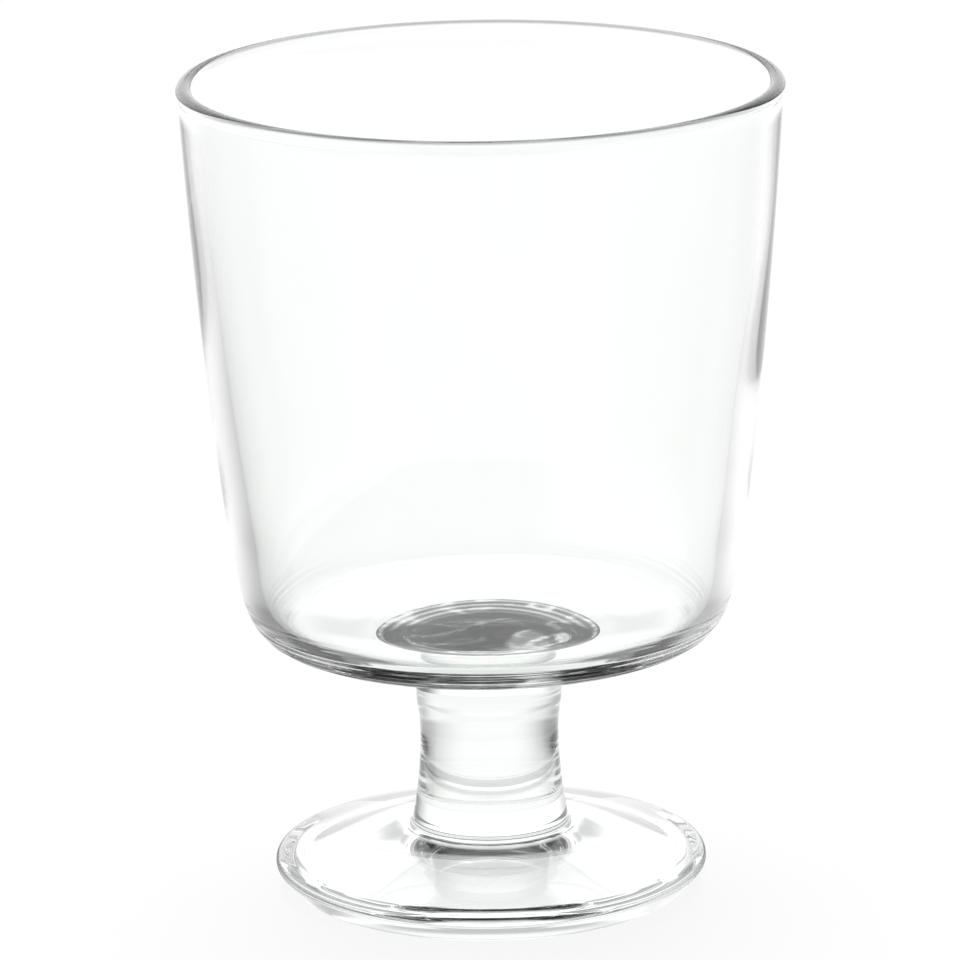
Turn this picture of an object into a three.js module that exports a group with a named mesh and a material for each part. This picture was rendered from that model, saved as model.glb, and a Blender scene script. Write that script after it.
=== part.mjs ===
// A clear glass goblet: a blown bowl, a solid pressed stem and a pressed foot, fused together.
// Every piece is a solid of revolution about +Z. Sizes are in millimetres, and the foot stands on z = 0.

import * as THREE from "three";

// Overall sizes
const GOBLET_HEIGHT = 113;
const RIM_RADIUS = 41;

// Fused joints: the room left between two pieces for the melted glass
const JOINT_GAP = 0.3;

// Foot
const FOOT_RADIUS = 29.6;
const FOOT_EDGE_ROUND = 1.7;
const FOOT_EDGE_HEIGHT = 3.75;
const FOOT_TAPER = THREE.MathUtils.degToRad(45);
const FOOT_SEAT_HEIGHT = 8.7;
const FOOT_SEAT_MARGIN = 0.4;
const RECESS_RADIUS = 25;
const RECESS_DEPTH = 3.3;

// Stem
const STEM_BASE_RADIUS = 10.66;
const STEM_BASE_FILLET = 1.2;
const STEM_WAIST_RADIUS = 9.5;
const STEM_WAIST_HEIGHT = 21.7;
const STEM_NECK_RADIUS = 9.95;
const STEM_FLARE_REACH = 5.55;
const STEM_FLARE_HEIGHT = 7.5;
const STEM_LIP = 0.35;

// Bowl, outside
const UNDERSIDE_HEIGHT = 34;
const HEEL_START_RADIUS = 25.7;
const HEEL_START_RISE = 1.17;
const HEEL_START_SLOPE = THREE.MathUtils.degToRad(9.7);
const HEEL_PULL_UNDER = 5.5;
const HEEL_PULL_WALL = 15.6;
const HEEL_HEIGHT = 18.3;
const WALL_BASE_RADIUS = 35.46;
const WALL_BULGE = 0.45;

// Bowl, inside
const WALL_BASE_THICKNESS = 3.3;
const WALL_TOP_THICKNESS = 2;
const FLOOR_THICKNESS = 3;
const FLOOR_FLAT_RADIUS = 11;
const FLOOR_EDGE_RADIUS = 26.5;
const FLOOR_EDGE_RISE = 1.6;
const FLOOR_EDGE_SLOPE = THREE.MathUtils.degToRad(10.5);
const INNER_HEEL_PULL_FLOOR = 4;
const INNER_HEEL_PULL_WALL = 10;

// Rim
const RIM_BEAD_RADIUS = 1.13;
const RIM_BEAD_DROP = 1.1;
const RIM_BEAD_PROUD = 0.32;
const RIM_BEAD_START = THREE.MathUtils.degToRad(-18);
const RIM_BEAD_END = THREE.MathUtils.degToRad(198);

// Fineness of the facets
const ROUND_STEPS = 48;
const CURVE_STEPS = 6;

const QUARTER_TURN = Math.PI / 2;

function clearGlass() {
  return new THREE.MeshStandardMaterial({ color: 0xe9f0ec, roughness: 0.04, metalness: 0 });
}

function turned(name, profile) {
  const geometry = new THREE.LatheGeometry(profile.getPoints(CURVE_STEPS), ROUND_STEPS);
  geometry.rotateX(QUARTER_TURN);
  const mesh = new THREE.Mesh(geometry, clearGlass());
  mesh.name = name;
  return mesh;
}

// The foot: a resting ring round a domed recess, a tapered side, a rounded edge and a conical top with a flat seat.
function makeFoot() {
  const seatRadius = STEM_BASE_RADIUS + STEM_BASE_FILLET + FOOT_SEAT_MARGIN;
  const edgeCentre = FOOT_RADIUS - FOOT_EDGE_ROUND;
  const rise = FOOT_SEAT_HEIGHT - FOOT_EDGE_HEIGHT - FOOT_EDGE_ROUND;
  const topSlope = Math.atan2(rise, edgeCentre - seatRadius);
  const sideRadius = edgeCentre + FOOT_EDGE_ROUND * Math.cos(FOOT_TAPER);
  const sideHeight = FOOT_EDGE_HEIGHT - FOOT_EDGE_ROUND * Math.sin(FOOT_TAPER);
  const ringRadius = sideRadius - sideHeight * Math.tan(FOOT_TAPER);

  const profile = new THREE.Path();
  profile.moveTo(0, RECESS_DEPTH);
  profile.quadraticCurveTo(RECESS_RADIUS / 2, RECESS_DEPTH, RECESS_RADIUS, 0);
  profile.lineTo(ringRadius, 0);
  profile.lineTo(sideRadius, sideHeight);
  profile.absarc(edgeCentre, FOOT_EDGE_HEIGHT, FOOT_EDGE_ROUND, -FOOT_TAPER, QUARTER_TURN - topSlope, false);
  profile.lineTo(seatRadius, FOOT_SEAT_HEIGHT);
  profile.lineTo(0, FOOT_SEAT_HEIGHT);
  return turned("foot", profile);
}

// The stem: solid glass, waisted, with a small fillet on to the foot and a trumpet flare under the bowl.
function makeStem() {
  const bottom = FOOT_SEAT_HEIGHT + JOINT_GAP;
  const top = UNDERSIDE_HEIGHT - JOINT_GAP;
  const filletCentre = STEM_BASE_RADIUS + STEM_BASE_FILLET;
  const filletTop = bottom + STEM_LIP + STEM_BASE_FILLET;
  const flareCentre = STEM_NECK_RADIUS + STEM_FLARE_REACH;
  const neckHeight = top - STEM_LIP - STEM_FLARE_HEIGHT;

  const profile = new THREE.Path();
  profile.moveTo(0, bottom);
  profile.lineTo(filletCentre, bottom);
  profile.lineTo(filletCentre, bottom + STEM_LIP);
  profile.absarc(filletCentre, filletTop, STEM_BASE_FILLET, -QUARTER_TURN, -Math.PI, true);
  profile.quadraticCurveTo(
    STEM_WAIST_RADIUS, (filletTop + STEM_WAIST_HEIGHT) / 2,
    STEM_WAIST_RADIUS, STEM_WAIST_HEIGHT,
  );
  profile.quadraticCurveTo(
    STEM_WAIST_RADIUS, (neckHeight + STEM_WAIST_HEIGHT) / 2,
    STEM_NECK_RADIUS, neckHeight,
  );
  profile.absellipse(flareCentre, neckHeight, STEM_FLARE_REACH, STEM_FLARE_HEIGHT, Math.PI, QUARTER_TURN, true);
  profile.lineTo(flareCentre, top);
  profile.lineTo(0, top);
  return turned("stem", profile);
}

// A wall runs from its base to its top on a slight outward curve, and this is the middle handle of that curve.
function wallHandle(base, top, bulge) {
  const handle = base.clone().lerp(top, 0.5);
  handle.x += 2 * bulge;
  return handle;
}

// The handle that carries a wall's own direction on, below its base, into the rounded heel.
function heelHandle(base, handle, pull) {
  return base.clone().add(base.clone().sub(handle).setLength(pull));
}

// The point where a level line meets the line that runs down from a point at a slope, over a given rise.
function bendBelow(point, rise, slope) {
  return new THREE.Vector2(point.x - rise / Math.tan(slope), point.y - rise);
}

// The point a given way on from a point, along a slope.
function alongSlope(point, slope, way) {
  return new THREE.Vector2(point.x + way * Math.cos(slope), point.y + way * Math.sin(slope));
}

// The bowl: a flat seat for the stem, a dished underside, a rounded heel, a slightly curved flaring wall,
// a rounded rim bead and, inside, a floor that follows the underside.
function makeBowl() {
  const seatRadius = STEM_NECK_RADIUS + STEM_FLARE_REACH;
  const wallBaseHeight = UNDERSIDE_HEIGHT + HEEL_HEIGHT;
  const wallTopRadius = RIM_RADIUS - RIM_BEAD_PROUD;
  const wallTopHeight = GOBLET_HEIGHT - RIM_BEAD_RADIUS - RIM_BEAD_DROP;
  const beadCentre = new THREE.Vector2(RIM_RADIUS - RIM_BEAD_RADIUS, GOBLET_HEIGHT - RIM_BEAD_RADIUS);
  const floorHeight = UNDERSIDE_HEIGHT + FLOOR_THICKNESS;

  const heelStart = new THREE.Vector2(HEEL_START_RADIUS, UNDERSIDE_HEIGHT + HEEL_START_RISE);
  const underBend = bendBelow(heelStart, HEEL_START_RISE, HEEL_START_SLOPE);
  const underPull = alongSlope(heelStart, HEEL_START_SLOPE, HEEL_PULL_UNDER);
  const outerBase = new THREE.Vector2(WALL_BASE_RADIUS, wallBaseHeight);
  const outerTop = new THREE.Vector2(wallTopRadius, wallTopHeight);
  const outerHandle = wallHandle(outerBase, outerTop, WALL_BULGE);
  const outerHeel = heelHandle(outerBase, outerHandle, HEEL_PULL_WALL);

  const floorEdge = new THREE.Vector2(FLOOR_EDGE_RADIUS, floorHeight + FLOOR_EDGE_RISE);
  const floorBend = bendBelow(floorEdge, FLOOR_EDGE_RISE, FLOOR_EDGE_SLOPE);
  const floorPull = alongSlope(floorEdge, FLOOR_EDGE_SLOPE, INNER_HEEL_PULL_FLOOR);
  const innerBase = new THREE.Vector2(WALL_BASE_RADIUS - WALL_BASE_THICKNESS, wallBaseHeight);
  const innerTop = new THREE.Vector2(wallTopRadius - WALL_TOP_THICKNESS, wallTopHeight);
  const innerHandle = wallHandle(innerBase, innerTop, WALL_BULGE);
  const innerHeel = heelHandle(innerBase, innerHandle, INNER_HEEL_PULL_WALL);

  const profile = new THREE.Path();
  profile.moveTo(0, UNDERSIDE_HEIGHT);
  profile.lineTo(seatRadius, UNDERSIDE_HEIGHT);
  profile.quadraticCurveTo(underBend.x, underBend.y, heelStart.x, heelStart.y);
  profile.bezierCurveTo(underPull.x, underPull.y, outerHeel.x, outerHeel.y, outerBase.x, outerBase.y);
  profile.quadraticCurveTo(outerHandle.x, outerHandle.y, outerTop.x, outerTop.y);
  profile.absarc(beadCentre.x, beadCentre.y, RIM_BEAD_RADIUS, RIM_BEAD_START, RIM_BEAD_END, false);
  profile.lineTo(innerTop.x, innerTop.y);
  profile.quadraticCurveTo(innerHandle.x, innerHandle.y, innerBase.x, innerBase.y);
  profile.bezierCurveTo(innerHeel.x, innerHeel.y, floorPull.x, floorPull.y, floorEdge.x, floorEdge.y);
  profile.quadraticCurveTo(floorBend.x, floorBend.y, FLOOR_FLAT_RADIUS, floorHeight);
  profile.lineTo(0, floorHeight);
  return turned("bowl", profile);
}

const goblet = new THREE.Group();
goblet.add(makeFoot(), makeStem(), makeBowl());

export default goblet;
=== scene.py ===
"""A clear glass goblet on a white studio sweep.

The bowl, the solid stem and the foot are turned outlines, fused together at two welds.
"""

import math

import bmesh
import bpy
from mathutils import Matrix, Vector


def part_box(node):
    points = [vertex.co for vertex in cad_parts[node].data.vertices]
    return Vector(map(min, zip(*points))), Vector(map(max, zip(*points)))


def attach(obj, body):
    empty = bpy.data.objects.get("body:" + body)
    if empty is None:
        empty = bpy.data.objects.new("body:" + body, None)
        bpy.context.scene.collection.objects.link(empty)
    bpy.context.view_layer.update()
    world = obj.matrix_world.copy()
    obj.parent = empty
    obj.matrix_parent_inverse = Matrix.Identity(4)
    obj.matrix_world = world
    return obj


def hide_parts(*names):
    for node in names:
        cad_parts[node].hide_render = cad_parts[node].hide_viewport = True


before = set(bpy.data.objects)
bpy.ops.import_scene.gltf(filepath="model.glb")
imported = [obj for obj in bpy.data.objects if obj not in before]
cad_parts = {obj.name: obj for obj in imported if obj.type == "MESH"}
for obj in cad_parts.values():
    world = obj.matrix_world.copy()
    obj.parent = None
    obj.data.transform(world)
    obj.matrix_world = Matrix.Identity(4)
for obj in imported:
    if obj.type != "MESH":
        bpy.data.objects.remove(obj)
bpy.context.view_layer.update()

MM = 0.001
QUARTER_TURN = math.pi / 2
FULL_TURN = 2 * math.pi
ORIGIN = (0, 0, 0)
ON_THE_LEVEL = (1, 1, 0)
WHITE = (1, 1, 1, 1)

# Overall sizes in millimetres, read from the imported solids
RIM_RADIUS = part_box("bowl")[1].x / MM
GOBLET_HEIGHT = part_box("bowl")[1].z / MM
UNDERSIDE_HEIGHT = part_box("bowl")[0].z / MM
FOOT_SEAT_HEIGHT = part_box("foot")[1].z / MM

# Foot, in millimetres
FOOT_RADIUS = 29.6
FOOT_EDGE_ROUND = 1.7
FOOT_EDGE_HEIGHT = 3.75
FOOT_TAPER = math.radians(45)
RING_ROUND = 0.5
RECESS_RADIUS = 25
RECESS_DEPTH = 3.3

# Stem, in millimetres
STEM_BASE_RADIUS = 10.66
STEM_BASE_FILLET = 1.2
STEM_WAIST_RADIUS = 9.5
STEM_WAIST_HEIGHT = 21.7
STEM_NECK_RADIUS = 9.95
STEM_FLARE_REACH = 5.55
STEM_FLARE_HEIGHT = 7.5
WELD_GAP = 0.02
STEM_BOTTOM = FOOT_SEAT_HEIGHT + WELD_GAP
STEM_TOP = UNDERSIDE_HEIGHT - WELD_GAP
STEM_SEAT_RADIUS = STEM_BASE_RADIUS + STEM_BASE_FILLET
STEM_FLARE_RADIUS = STEM_NECK_RADIUS + STEM_FLARE_REACH

# Bowl, in millimetres
HEEL_START_RADIUS = 25.7
HEEL_START_RISE = 1.17
HEEL_START_SLOPE = math.radians(9.7)
HEEL_PULL_UNDER = 5.5
HEEL_PULL_WALL = 15.6
WALL_BASE_HEIGHT = 52.3
WALL_BASE_RADIUS = 35.46
WALL_TOP_RADIUS = 40.68
WALL_BULGE = 0.45
WALL_BASE_THICKNESS = 3.3
WALL_TOP_THICKNESS = 2
FLOOR_THICKNESS = 3
FLOOR_FLAT_RADIUS = 11
FLOOR_EDGE_RADIUS = 26.5
FLOOR_EDGE_RISE = 1.6
FLOOR_EDGE_SLOPE = math.radians(10.5)
INNER_HEEL_PULL_FLOOR = 4
INNER_HEEL_PULL_WALL = 10
RIM_BEAD_RADIUS = 1.13
RIM_BEAD_DROP = 1.1
RIM_BEAD_START = math.radians(-18)
RIM_BEAD_END = math.radians(198)

# Unevenness of the glass, in millimetres; a wall wave has its count round the bowl, slant and start
HEEL_RIPPLE = 0.024
HEEL_RIPPLE_SHARE = 0.54
HEEL_RIPPLE_LENGTHS = (1.75, 1.05)
WALL_WAVE = 0.05
WALL_WAVE_FOOT = 46
WALL_WAVE_TOP = 106
WALL_WAVE_LENGTH = 70
WALL_WAVES = [(3, 1, 0), (5, -1.3, 1)]

# Fineness of the meshes, and the distances under which points count as one
ROUND_STEPS = 256
CURVE_STEPS = 28
RIPPLE_STEPS = 110
RING_STEPS = 8
FOOT_SIDE_STEPS = 6
FOOT_TOP_STEPS = 12
FLAT_FLOOR_STEPS = 6
SAME_POINT_MM = 1e-6
MERGE_METRES = 1e-7

# Glass: share of each colour that passes, heights in metres
GLASS_IOR = 1.5
THIN_TINT = (0.985, 0.995, 0.988)
THICK_TINT = (0.945, 0.965, 0.952)
THICK_BELOW = (0.036, 0.042)
# Painted shade at the crown of the rim, for the dark lines that a rim shows
CROWN_SHADE = 0.7
CROWN_ABOVE = (0.1125, 0.11285)
CORD_SCALE = 60
CORD_DETAIL = 2
CORD_TWIST = 1.5
CORD_TINT = 0.012

# Weld of stem and bowl, in metres: grey painted shade in place of the darkness seen down the stem, with
# clearer streaks
WELD_PAINTED_SHADE = (0.07, 0.08, 0.075, 1)
WELD_CORE = (0.0095, 0.0115)
WELD_EDGE_CLEAR = 0.3
WELD_RINGS_PER_METRE = 620
WELD_RING_CLEAR = 0.24
WELD_STREAK_SCALE = 110
WELD_STREAK_DETAIL = 2
WELD_STREAK_TWIST = 2.5
WELD_STREAK_CLEAR = 0.6
WELD_STREAK_START = (0.42, 0.75)
WELD_BACK = (0.002, 0.006)
WELD_BACK_CLEAR = 0.3
WELD_FRONT = (0.01, 0.014)
WELD_FRONT_CLEAR = 0.4

# Clear patches in the weld's painted shade, standing in for highlights: place, radius of the full patch,
# radius where it ends, and strength
WELD_SQUASH = (1, 0.4, 0)
WELD_HIGHLIGHT_PATCHES = [
    ((0.0056, -0.0026, 0), 0.0024, 0.0036, 0.5),
    ((0.0102, -0.0014, 0), 0.0008, 0.0016, 0.8),
]

# Floor, in metres
FLOOR_RADIUS = 3
FLOOR_SEGMENTS = 128
FLOOR_DROP = -0.0001
PAPER_COLOUR = (0.9, 0.9, 0.9, 1)
SEEN_GLOW = 0.9
GLASS_LIFT = 0.06

# Painted shadow and shade on the floor that only the glass sees: strength, reach from the axis in metres,
# and direction
DARKEST_SHADE = 0.98
BEHIND_TURN = (0, 0.2)
# Middle, ring and near shades are painted shadow of the goblet round its foot; side, far and left shades
# are painted shade in place of dark surroundings
MIDDLE_SHADE = 0.2
MIDDLE_SHADE_REACH = (0.004, 0.022)
RING_SHADE = 0.5
RING_SHADE_REACH = (0.0205, 0.0225, 0.0285, 0.0305)
RING_SHADE_TURN = (0.3, 0.6)
NEAR_SHADE = 0.8
NEAR_SHADE_REACH = (0.029, 0.033, 0.045, 0.075)
NEAR_SHADE_TURN = (0.5, 0.85)
SIDE_SHADE = 0.55
SIDE_SHADE_REACH = (0.035, 0.045, 0.11, 0.17)
SIDE_SHADE_TURN = (0.15, 0.85)
FAR_SHADE = 0.3
FAR_SHADE_REACH = (0.12, 0.18, 0.4, 0.7)
FAR_SHADE_TURN = (0.6, 0.85)
LEFT_SHADE = 0.2
LEFT_SHADE_REACH = (0.04, 0.06, 0.2, 0.45)
LEFT_SHADE_TURN = (0.3, 0.7)

# Room: levels of light, heights and directions as parts of a unit direction
ROOM_LEVEL = 0.3
BACKDROP_TURN = (0.68, 0.98)
BACKDROP_LEVEL = 1.12
SWEEP_TOP = (0.19, 0.24)
PANEL_FOOT = (0.295, 0.345)
PANEL_TOP = (0.68, 0.85)
GAP_LEVEL = 0.2
GAP_TURN = (0.0, 0.1)
LEFT_FILL_TURN = (0.3, 0.8)
LEFT_FILL_TOP = (0.6, 0.85)
LEFT_FILL_LEVEL = 0.65
BACK_LIGHT_PLACE = (0, 0.4, 2)
BACK_LIGHT_SIZE = 1.2
BACK_LIGHT_WATTS = 36
LIGHT_BOUNCES = 48
CLEAR_BOUNCES = 32

# Camera: the image is taken to be 960 x 960 pixels
IMAGE_PIXELS = 960
SENSOR_MM = 36
FOCAL_PIXELS = 7599
NEAR_CLIP = 0.05
CAMERA_PLACE = Vector((0, -999.9, 321.4)) * MM
CAMERA_PITCH = math.radians(-14.80)
CAMERA_YAW = math.radians(-0.046)
CAMERA_ROLL = math.radians(-0.815)


# Outlines

def line(start, end):
    return [Vector(start), Vector(end)]


def arc(centre, reach, start, end, rise=None, steps=CURVE_STEPS):
    """Part of a circle, or of an ellipse when its rise is not its reach."""
    angles = [start + (end - start) * i / steps for i in range(steps + 1)]
    rise = rise or reach
    return [Vector((centre[0] + reach * math.cos(a), centre[1] + rise * math.sin(a))) for a in angles]


def bezier(*handles, steps=CURVE_STEPS):
    """The points of a Bezier curve with any number of handles, by repeated steps between them."""
    curve = []
    for i in range(steps + 1):
        points = [Vector(h) for h in handles]
        while len(points) > 1:
            points = [a.lerp(b, i / steps) for a, b in zip(points, points[1:])]
        curve.append(points[0])
    return curve


def joined(*stretches):
    """One outline from several stretches, without the points that they share."""
    outline = []
    for stretch in stretches:
        outline += [p for p in stretch if not outline or (p - outline[-1]).length > SAME_POINT_MM]
    return outline


def rippled(curve):
    """Lifts the first part of a curve off its line by the shallow ripples that turning leaves."""
    steps = [(b - a).length for a, b in zip(curve, curve[1:])]
    length = sum(steps) * HEEL_RIPPLE_SHARE
    moved = [curve[0]]
    along = 0
    for i in range(1, len(curve) - 1):
        along += steps[i - 1]
        run = (curve[i + 1] - curve[i - 1]).normalized()
        swing = sum(math.sin(FULL_TURN * along / wave) for wave in HEEL_RIPPLE_LENGTHS)
        lift = HEEL_RIPPLE * swing * math.sin(math.pi * min(along / length, 1)) ** 2
        moved.append(curve[i] + Vector((run.y, -run.x)) * lift)
    return moved + [curve[-1]]


def foot_outline():
    edge_centre = FOOT_RADIUS - FOOT_EDGE_ROUND
    rise = FOOT_SEAT_HEIGHT - FOOT_EDGE_HEIGHT - FOOT_EDGE_ROUND
    top_slope = math.atan2(rise, edge_centre - STEM_SEAT_RADIUS)
    edge = arc((edge_centre, FOOT_EDGE_HEIGHT), FOOT_EDGE_ROUND, -FOOT_TAPER, QUARTER_TURN - top_slope)
    ring_radius = edge[0].x - edge[0].y * math.tan(FOOT_TAPER)
    ring_corner = Vector((ring_radius, 0))
    ring_in = ring_corner - Vector((RING_ROUND, 0))
    ring_up = ring_corner + (edge[0] - ring_corner).normalized() * RING_ROUND
    return joined(
        bezier((0, RECESS_DEPTH), (RECESS_RADIUS / 2, RECESS_DEPTH), (RECESS_RADIUS, 0)),
        line((RECESS_RADIUS, 0), ring_in),
        bezier(ring_in, ring_corner, ring_up, steps=RING_STEPS),
        bezier(ring_up, edge[0], steps=FOOT_SIDE_STEPS),
        edge,
        bezier(edge[-1], (STEM_SEAT_RADIUS, FOOT_SEAT_HEIGHT), steps=FOOT_TOP_STEPS),
        line((STEM_SEAT_RADIUS, FOOT_SEAT_HEIGHT), (0, FOOT_SEAT_HEIGHT)),
    )


def stem_outline():
    fillet_top = STEM_BOTTOM + STEM_BASE_FILLET
    neck_height = STEM_TOP - STEM_FLARE_HEIGHT
    waist = (STEM_WAIST_RADIUS, STEM_WAIST_HEIGHT)
    below_waist = (STEM_WAIST_RADIUS, (fillet_top + STEM_WAIST_HEIGHT) / 2)
    above_waist = (STEM_WAIST_RADIUS, (neck_height + STEM_WAIST_HEIGHT) / 2)
    flare_centre = (STEM_FLARE_RADIUS, neck_height)
    return joined(
        line((0, STEM_BOTTOM), (STEM_SEAT_RADIUS, STEM_BOTTOM)),
        arc((STEM_SEAT_RADIUS, fillet_top), STEM_BASE_FILLET, -QUARTER_TURN, -math.pi),
        bezier((STEM_BASE_RADIUS, fillet_top), below_waist, waist),
        bezier(waist, above_waist, (STEM_NECK_RADIUS, neck_height)),
        arc(flare_centre, STEM_FLARE_REACH, math.pi, QUARTER_TURN, rise=STEM_FLARE_HEIGHT),
        line((STEM_FLARE_RADIUS, STEM_TOP), (0, STEM_TOP)),
    )


def wall_handle(base, top):
    """The middle handle of a wall's curve, which bulges outwards."""
    return base.lerp(top, 0.5) + Vector((2 * WALL_BULGE, 0))


def heel_handle(base, handle, pull):
    """The handle below a wall's base, in line with the wall."""
    return base + (base - handle).normalized() * pull


def bowl_outline():
    wall_top_height = GOBLET_HEIGHT - RIM_BEAD_RADIUS - RIM_BEAD_DROP
    floor_height = UNDERSIDE_HEIGHT + FLOOR_THICKNESS
    floor_edge = Vector((FLOOR_EDGE_RADIUS, floor_height + FLOOR_EDGE_RISE))
    floor_run = Vector((math.cos(FLOOR_EDGE_SLOPE), math.sin(FLOOR_EDGE_SLOPE)))
    floor_bend = floor_edge - floor_run * FLOOR_EDGE_RISE / floor_run.y
    heel_start = Vector((HEEL_START_RADIUS, UNDERSIDE_HEIGHT + HEEL_START_RISE))
    heel_run = Vector((math.cos(HEEL_START_SLOPE), math.sin(HEEL_START_SLOPE)))
    under_bend = heel_start - heel_run * HEEL_START_RISE / heel_run.y
    bead_centre = (RIM_RADIUS - RIM_BEAD_RADIUS, GOBLET_HEIGHT - RIM_BEAD_RADIUS)
    outer_base = Vector((WALL_BASE_RADIUS, WALL_BASE_HEIGHT))
    outer_top = Vector((WALL_TOP_RADIUS, wall_top_height))
    outer_handle = wall_handle(outer_base, outer_top)
    inner_base = outer_base - Vector((WALL_BASE_THICKNESS, 0))
    inner_top = outer_top - Vector((WALL_TOP_THICKNESS, 0))
    inner_handle = wall_handle(inner_base, inner_top)
    return joined(
        line((0, UNDERSIDE_HEIGHT), (STEM_FLARE_RADIUS, UNDERSIDE_HEIGHT)),
        bezier((STEM_FLARE_RADIUS, UNDERSIDE_HEIGHT), under_bend, heel_start),
        rippled(bezier(
            heel_start,
            heel_start + heel_run * HEEL_PULL_UNDER,
            heel_handle(outer_base, outer_handle, HEEL_PULL_WALL),
            outer_base,
            steps=RIPPLE_STEPS,
        )),
        bezier(outer_base, outer_handle, outer_top),
        arc(bead_centre, RIM_BEAD_RADIUS, RIM_BEAD_START, RIM_BEAD_END),
        bezier(inner_top, inner_handle, inner_base),
        bezier(
            inner_base,
            heel_handle(inner_base, inner_handle, INNER_HEEL_PULL_WALL),
            floor_edge + floor_run * INNER_HEEL_PULL_FLOOR,
            floor_edge,
        ),
        bezier(floor_edge, floor_bend, (FLOOR_FLAT_RADIUS, floor_height)),
        bezier((FLOOR_FLAT_RADIUS, floor_height), (0, floor_height), steps=FLAT_FLOOR_STEPS),
    )


# Meshes

def placed(name, data):
    """A new object in the scene, at the origin."""
    holder = bpy.data.objects.new(name, data)
    bpy.context.scene.collection.objects.link(holder)
    return holder


def placed_mesh(name, shape):
    mesh = bpy.data.meshes.new(name)
    shape.to_mesh(mesh)
    shape.free()
    return placed(name, mesh)


def turned(name, outline, weld_heights, weld_radius):
    """Spins an outline into a closed piece.

    Flat faces at the lower and upper weld take material slots of their own.
    """
    shape = bmesh.new()
    ring = [shape.verts.new((p.x * MM, 0, p.y * MM)) for p in outline]
    edges = [shape.edges.new(pair) for pair in zip(ring, ring[1:])]
    bmesh.ops.spin(
        shape,
        geom=ring + edges,
        cent=ORIGIN,
        axis=(0, 0, 1),
        angle=FULL_TURN,
        steps=ROUND_STEPS,
        use_merge=True,
    )
    bmesh.ops.remove_doubles(shape, verts=shape.verts, dist=MERGE_METRES)
    bmesh.ops.recalc_face_normals(shape, faces=shape.faces)
    for face in shape.faces:
        middle = face.calc_center_median() / MM
        inside = middle.xy.length < weld_radius
        face.smooth = True
        for slot, height in enumerate(weld_heights):
            if inside and height is not None and abs(middle.z - height) < WELD_GAP / 2:
                face.material_index = slot + 1
                face.smooth = False
    for vert in shape.verts:
        wave_inner_wall(vert.co)
    return placed_mesh(name, shape)


def wave_inner_wall(spot):
    """Moves a point of the bowl's inner wall in or out by faint waves. Other points stay."""
    height = (spot.z / MM - WALL_WAVE_FOOT) / (WALL_WAVE_TOP - WALL_WAVE_FOOT)
    rise = (spot.z / MM - WALL_BASE_HEIGHT) / (GOBLET_HEIGHT - WALL_BASE_HEIGHT)
    mid_wall = WALL_BASE_RADIUS + rise * (WALL_TOP_RADIUS - WALL_BASE_RADIUS) - WALL_TOP_THICKNESS / 2
    radius = spot.xy.length / MM
    if not 0 < height < 1 or not mid_wall - 2 * WALL_BASE_THICKNESS < radius < mid_wall:
        return
    turn = math.atan2(spot.y, spot.x)
    climb = FULL_TURN * spot.z / MM / WALL_WAVE_LENGTH
    swing = sum(math.sin(count * turn + slant * climb + start) for count, slant, start in WALL_WAVES)
    spot.xy *= 1 + WALL_WAVE * swing * math.sin(math.pi * height) ** 2 / radius


# Materials

class Nodes:
    """Adds nodes to a material or world, one method for every type."""

    def __init__(self, tree):
        self.tree = tree
        tree.nodes.clear()

    def add(self, kind, settings=None, **sockets):
        node = self.tree.nodes.new(kind)
        for key, value in (settings or {}).items():
            setattr(node, key, value)
        for key, value in sockets.items():
            self.feed(node.inputs[key.replace("_", " ")], value)
        return node

    def feed(self, socket, value):
        if isinstance(value, Value):
            self.tree.links.new(value.socket, socket)
        elif isinstance(value, bpy.types.NodeSocket):
            self.tree.links.new(value, socket)
        else:
            socket.default_value = value

    def vector_maths(self, operation, first, second):
        node = self.add("ShaderNodeVectorMath", {"operation": operation})
        self.feed(node.inputs[0], first)
        self.feed(node.inputs[1], second)
        return node

    def distance(self, vector, place):
        return Value(self, self.vector_maths("DISTANCE", vector, place).outputs["Value"])

    def times(self, vector, factors):
        """A vector with each axis multiplied by a factor of its own."""
        return self.vector_maths("MULTIPLY", vector, factors).outputs[0]

    def mixed(self, factor, first, second):
        """The first shader where the factor is 0, and the second where it is 1."""
        node = self.add("ShaderNodeMixShader")
        for socket, value in zip(node.inputs, (factor, first.outputs[0], second.outputs[0])):
            self.feed(socket, value)
        return node


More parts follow.
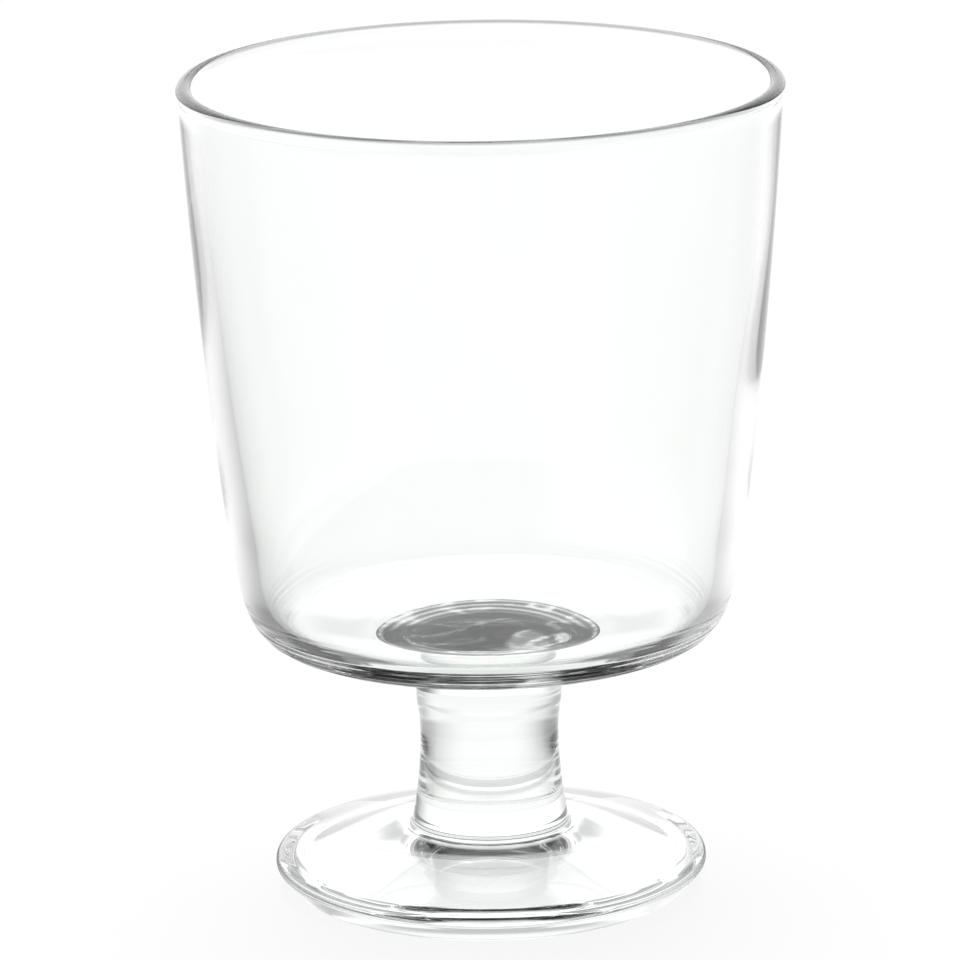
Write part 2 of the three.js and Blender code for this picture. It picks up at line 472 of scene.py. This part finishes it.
class Value:
    """A socket that takes part in Python expressions."""

    def __init__(self, nodes, socket):
        self.nodes = nodes
        self.socket = socket

    def maths(self, operation, first, second):
        node = self.nodes.add("ShaderNodeMath", {"operation": operation})
        self.nodes.feed(node.inputs[0], first)
        self.nodes.feed(node.inputs[1], second)
        return Value(self.nodes, node.outputs[0])

    def __add__(self, other):
        return self.maths("ADD", self, other)

    def __radd__(self, other):
        return self.maths("ADD", other, self)

    def __sub__(self, other):
        return self.maths("SUBTRACT", self, other)

    def __rsub__(self, other):
        return self.maths("SUBTRACT", other, self)

    def __mul__(self, other):
        return self.maths("MULTIPLY", self, other)

    def __rmul__(self, other):
        return self.maths("MULTIPLY", other, self)

    def __truediv__(self, other):
        return self.maths("DIVIDE", self, other)

    def __rtruediv__(self, other):
        return self.maths("DIVIDE", other, self)

    def ramp(self, low, high):
        """Rises smoothly from 0 at low to 1 at high."""
        node = self.nodes.add("ShaderNodeMapRange", {"interpolation_type": "SMOOTHSTEP"})
        sockets = {"Value": self, "From Min": low, "From Max": high, "To Min": 0, "To Max": 1}
        for key, value in sockets.items():
            self.nodes.feed(node.inputs[key], value)
        return Value(self.nodes, node.outputs[0])

    def hump(self, start, full, fade, end):
        """Rises from start to full and falls again from fade to end."""
        return self.ramp(start, full) * (1 - self.ramp(fade, end))

    def capped(self, limit):
        return self.maths("MINIMUM", self, limit)

    def sine(self):
        return self.maths("SINE", self, 0)

    def unsigned(self):
        return self.maths("ABSOLUTE", self, 0)


def new_material(name):
    material = bpy.data.materials.new(name)
    material.use_nodes = True
    return material, Nodes(material.node_tree)


def clear_glass():
    """Clear glass with faint cords, greener where it is thick, and with painted shade at the crown of the
    rim.
    """
    material, nodes = new_material("clear_glass")
    spot = nodes.add("ShaderNodeTexCoord").outputs["Object"]
    height = Value(nodes, nodes.add("ShaderNodeSeparateXYZ", Vector=spot).outputs["Z"])
    cords = nodes.add(
        "ShaderNodeTexNoise",
        Vector=spot,
        Scale=CORD_SCALE,
        Detail=CORD_DETAIL,
        Distortion=CORD_TWIST,
    )
    thick = 1 - height.ramp(*THICK_BELOW)
    # The darker crown is painted shade; the cords are the glass's own faint tone
    crown = height.ramp(*CROWN_ABOVE) * CROWN_SHADE
    fade = Value(nodes, cords.outputs[0]) * CORD_TINT + crown
    colour = nodes.add("ShaderNodeCombineColor")
    for i, (thin, deep) in enumerate(zip(THIN_TINT, THICK_TINT)):
        nodes.feed(colour.inputs[i], thin - thick * (thin - deep) - fade)
    shader = nodes.add(
        "ShaderNodeBsdfPrincipled",
        Base_Color=colour.outputs[0],
        Roughness=0.0,
        IOR=GLASS_IOR,
        Transmission_Weight=1.0,
    )
    nodes.add("ShaderNodeOutputMaterial", Surface=shader.outputs[0])
    return material


def clear_weld():
    """The face where stem and foot are melted together: light passes straight on."""
    material, nodes = new_material("clear_weld")
    nodes.add("ShaderNodeOutputMaterial", Surface=nodes.add("ShaderNodeBsdfTransparent").outputs[0])
    return material


def painted_shade_weld():
    """The face where stem and bowl are melted together: grey painted shade for the darkness seen down the
    stem, with clearer streaks and rings.
    """
    material, nodes = new_material("painted_shade_weld")
    spot = nodes.add("ShaderNodeTexCoord").outputs["Object"]
    flat = nodes.times(spot, ON_THE_LEVEL)
    away = nodes.distance(flat, ORIGIN)
    noise = nodes.add(
        "ShaderNodeTexNoise",
        Vector=flat,
        Scale=WELD_STREAK_SCALE,
        Detail=WELD_STREAK_DETAIL,
        Distortion=WELD_STREAK_TWIST,
    )
    edge = away.ramp(*WELD_CORE)
    rings = (away * (FULL_TURN * WELD_RINGS_PER_METRE)).sine() * edge
    clear = Value(nodes, noise.outputs[0]).ramp(*WELD_STREAK_START) * WELD_STREAK_CLEAR
    clear = clear + edge * WELD_EDGE_CLEAR + rings * WELD_RING_CLEAR
    back = Value(nodes, nodes.add("ShaderNodeSeparateXYZ", Vector=spot).outputs["Y"])
    clear = clear + back.ramp(*WELD_BACK) * WELD_BACK_CLEAR
    clear = clear + (0 - back).ramp(*WELD_FRONT) * WELD_FRONT_CLEAR
    squashed = nodes.times(spot, WELD_SQUASH)
    # Painted highlights: clear patches cut into the painted shade
    for place, full, end, strength in WELD_HIGHLIGHT_PATCHES:
        clear = clear + (1 - nodes.distance(squashed, place).ramp(full, end)) * strength
    # The grey pass is painted shade; where the mask clears it, the light behind passes straight on
    painted_shade_pass = nodes.add("ShaderNodeBsdfTransparent", Color=WELD_PAINTED_SHADE)
    clear_pass = nodes.add("ShaderNodeBsdfTransparent")
    mix = nodes.mixed(clear.capped(1), painted_shade_pass, clear_pass)
    nodes.add("ShaderNodeOutputMaterial", Surface=mix.outputs[0])
    return material


# Stage

def floor_shade(nodes):
    """How much painted shadow and shade darken the floor that the glass sees, at each spot."""
    spot = nodes.add("ShaderNodeTexCoord").outputs["Object"]
    axes = nodes.add("ShaderNodeSeparateXYZ", Vector=spot)
    away = nodes.distance(spot, ORIGIN)
    rightward = Value(nodes, axes.outputs["X"]) / away
    backward = Value(nodes, axes.outputs["Y"]) / away
    sideways = rightward.unsigned()
    behind = backward.ramp(*BEHIND_TURN)
    middle = 1 - away.ramp(*MIDDLE_SHADE_REACH)
    ring = away.hump(*RING_SHADE_REACH) * backward.ramp(*RING_SHADE_TURN)
    near = away.hump(*NEAR_SHADE_REACH) * (1 - backward.ramp(*NEAR_SHADE_TURN))
    side = away.hump(*SIDE_SHADE_REACH) * sideways.ramp(*SIDE_SHADE_TURN) * behind
    left = away.hump(*LEFT_SHADE_REACH) * (0 - rightward).ramp(*LEFT_SHADE_TURN) * behind
    far = away.hump(*FAR_SHADE_REACH) * sideways.ramp(*FAR_SHADE_TURN)
    shade = middle * MIDDLE_SHADE + ring * RING_SHADE + near * NEAR_SHADE
    shade = shade + side * SIDE_SHADE + far * FAR_SHADE + left * LEFT_SHADE
    return shade.capped(DARKEST_SHADE)


def white_floor():
    """Paper that the camera sees as white with a shadow, and the glass as white with soft zones of painted
    shadow and shade.
    """
    shape = bmesh.new()
    bmesh.ops.create_circle(shape, cap_ends=True, radius=FLOOR_RADIUS, segments=FLOOR_SEGMENTS)
    floor = placed_mesh("floor", shape)
    floor.location.z = FLOOR_DROP
    material, nodes = new_material("white_floor")
    path = nodes.add("ShaderNodeLightPath")
    seen = Value(nodes, path.outputs["Is Camera Ray"])
    glossy = Value(nodes, path.outputs["Is Glossy Ray"])
    through = Value(nodes, path.outputs["Is Transmission Ray"])
    in_glass = (glossy + through).capped(1)
    # The glass sees the floor's glow lowered by the painted shadow and shade
    strength = 1 + in_glass * (GLASS_LIFT - floor_shade(nodes))
    paper = nodes.add("ShaderNodeBsdfDiffuse", Color=PAPER_COLOUR)
    glow = nodes.add("ShaderNodeEmission", Color=WHITE, Strength=strength)
    mix = nodes.mixed(seen * SEEN_GLOW + in_glass, paper, glow)
    nodes.add("ShaderNodeOutputMaterial", Surface=mix.outputs[0])
    floor.data.materials.append(material)


def studio_world():
    """A room that the camera sees as white.

    The glass sees it white behind, with a dim gap in the middle, soft light at the left, and dim elsewhere.
    """
    world = bpy.data.worlds.new("studio")
    bpy.context.scene.world = world
    world.use_nodes = True
    nodes = Nodes(world.node_tree)
    seen = Value(nodes, nodes.add("ShaderNodeLightPath").outputs["Is Camera Ray"])
    direction = nodes.add("ShaderNodeTexCoord").outputs["Generated"]
    axes = nodes.add("ShaderNodeSeparateXYZ", Vector=direction)
    right, back, up = [Value(nodes, axes.outputs[axis]) for axis in "XYZ"]
    turn = back / nodes.distance(nodes.times(direction, ON_THE_LEVEL), ORIGIN)
    sweep = 1 - up.ramp(*SWEEP_TOP)
    beside = right.unsigned().ramp(*GAP_TURN)
    panel = (up.ramp(*PANEL_FOOT) + beside).capped(1) * (1 - up.ramp(*PANEL_TOP))
    lit = (sweep + panel).capped(1)
    backdrop = turn.ramp(*BACKDROP_TURN) * (GAP_LEVEL + lit * (BACKDROP_LEVEL - GAP_LEVEL))
    window = (0 - right).ramp(*LEFT_FILL_TURN) * (1 - up.ramp(*LEFT_FILL_TOP)) * LEFT_FILL_LEVEL
    room = ROOM_LEVEL + backdrop + window
    strength = room + seen * (1 - room)
    background = nodes.add("ShaderNodeBackground", Color=WHITE, Strength=strength)
    nodes.add("ShaderNodeOutputWorld", Surface=background.outputs[0])


def softbox(name, place, aim, size, watts):
    """A round soft lamp that the glass does not mirror or show."""
    lamp = bpy.data.lights.new(name, "AREA")
    lamp.shape = "DISK"
    lamp.size = size
    lamp.energy = watts
    holder = placed(name, lamp)
    holder.location = place
    holder.rotation_euler = (Vector(aim) - Vector(place)).to_track_quat("-Z", "Y").to_euler()
    holder.visible_transmission = False
    holder.visible_glossy = False


def photo_camera():
    """The camera that was fitted to the photograph."""
    camera = bpy.data.cameras.new("camera")
    camera.sensor_width = SENSOR_MM
    camera.lens = FOCAL_PIXELS / IMAGE_PIXELS * SENSOR_MM
    camera.clip_start = NEAR_CLIP
    holder = placed("camera", camera)
    aim = Matrix.Rotation(-CAMERA_YAW, 4, "Z") @ Matrix.Rotation(QUARTER_TURN + CAMERA_PITCH, 4, "X")
    holder.matrix_world = Matrix.Translation(CAMERA_PLACE) @ aim @ Matrix.Rotation(CAMERA_ROLL, 4, "Z")
    bpy.context.scene.camera = holder


# Assembly

glass = clear_glass()
foot_weld = clear_weld()
bowl_weld_painted_shade = painted_shade_weld()
parts = {
    "bowl": (bowl_outline(), (None, UNDERSIDE_HEIGHT), STEM_FLARE_RADIUS),
    "stem": (stem_outline(), (STEM_BOTTOM, STEM_TOP), STEM_FLARE_RADIUS),
    "foot": (foot_outline(), (FOOT_SEAT_HEIGHT, None), STEM_SEAT_RADIUS),
}
for node, (outline, weld_heights, weld_radius) in parts.items():
    piece = turned(node + "_glass", outline, weld_heights, weld_radius)
    for material in (glass, foot_weld, bowl_weld_painted_shade):
        piece.data.materials.append(material)
    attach(piece, "root")
    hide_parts(node)

white_floor()
studio_world()
softbox("back_light", BACK_LIGHT_PLACE, ORIGIN, BACK_LIGHT_SIZE, BACK_LIGHT_WATTS)
photo_camera()

scene = bpy.context.scene
scene.view_settings.view_transform = "Standard"
scene.cycles.max_bounces = LIGHT_BOUNCES
scene.cycles.transmission_bounces = LIGHT_BOUNCES
scene.cycles.glossy_bounces = LIGHT_BOUNCES
scene.cycles.transparent_max_bounces = CLEAR_BOUNCES
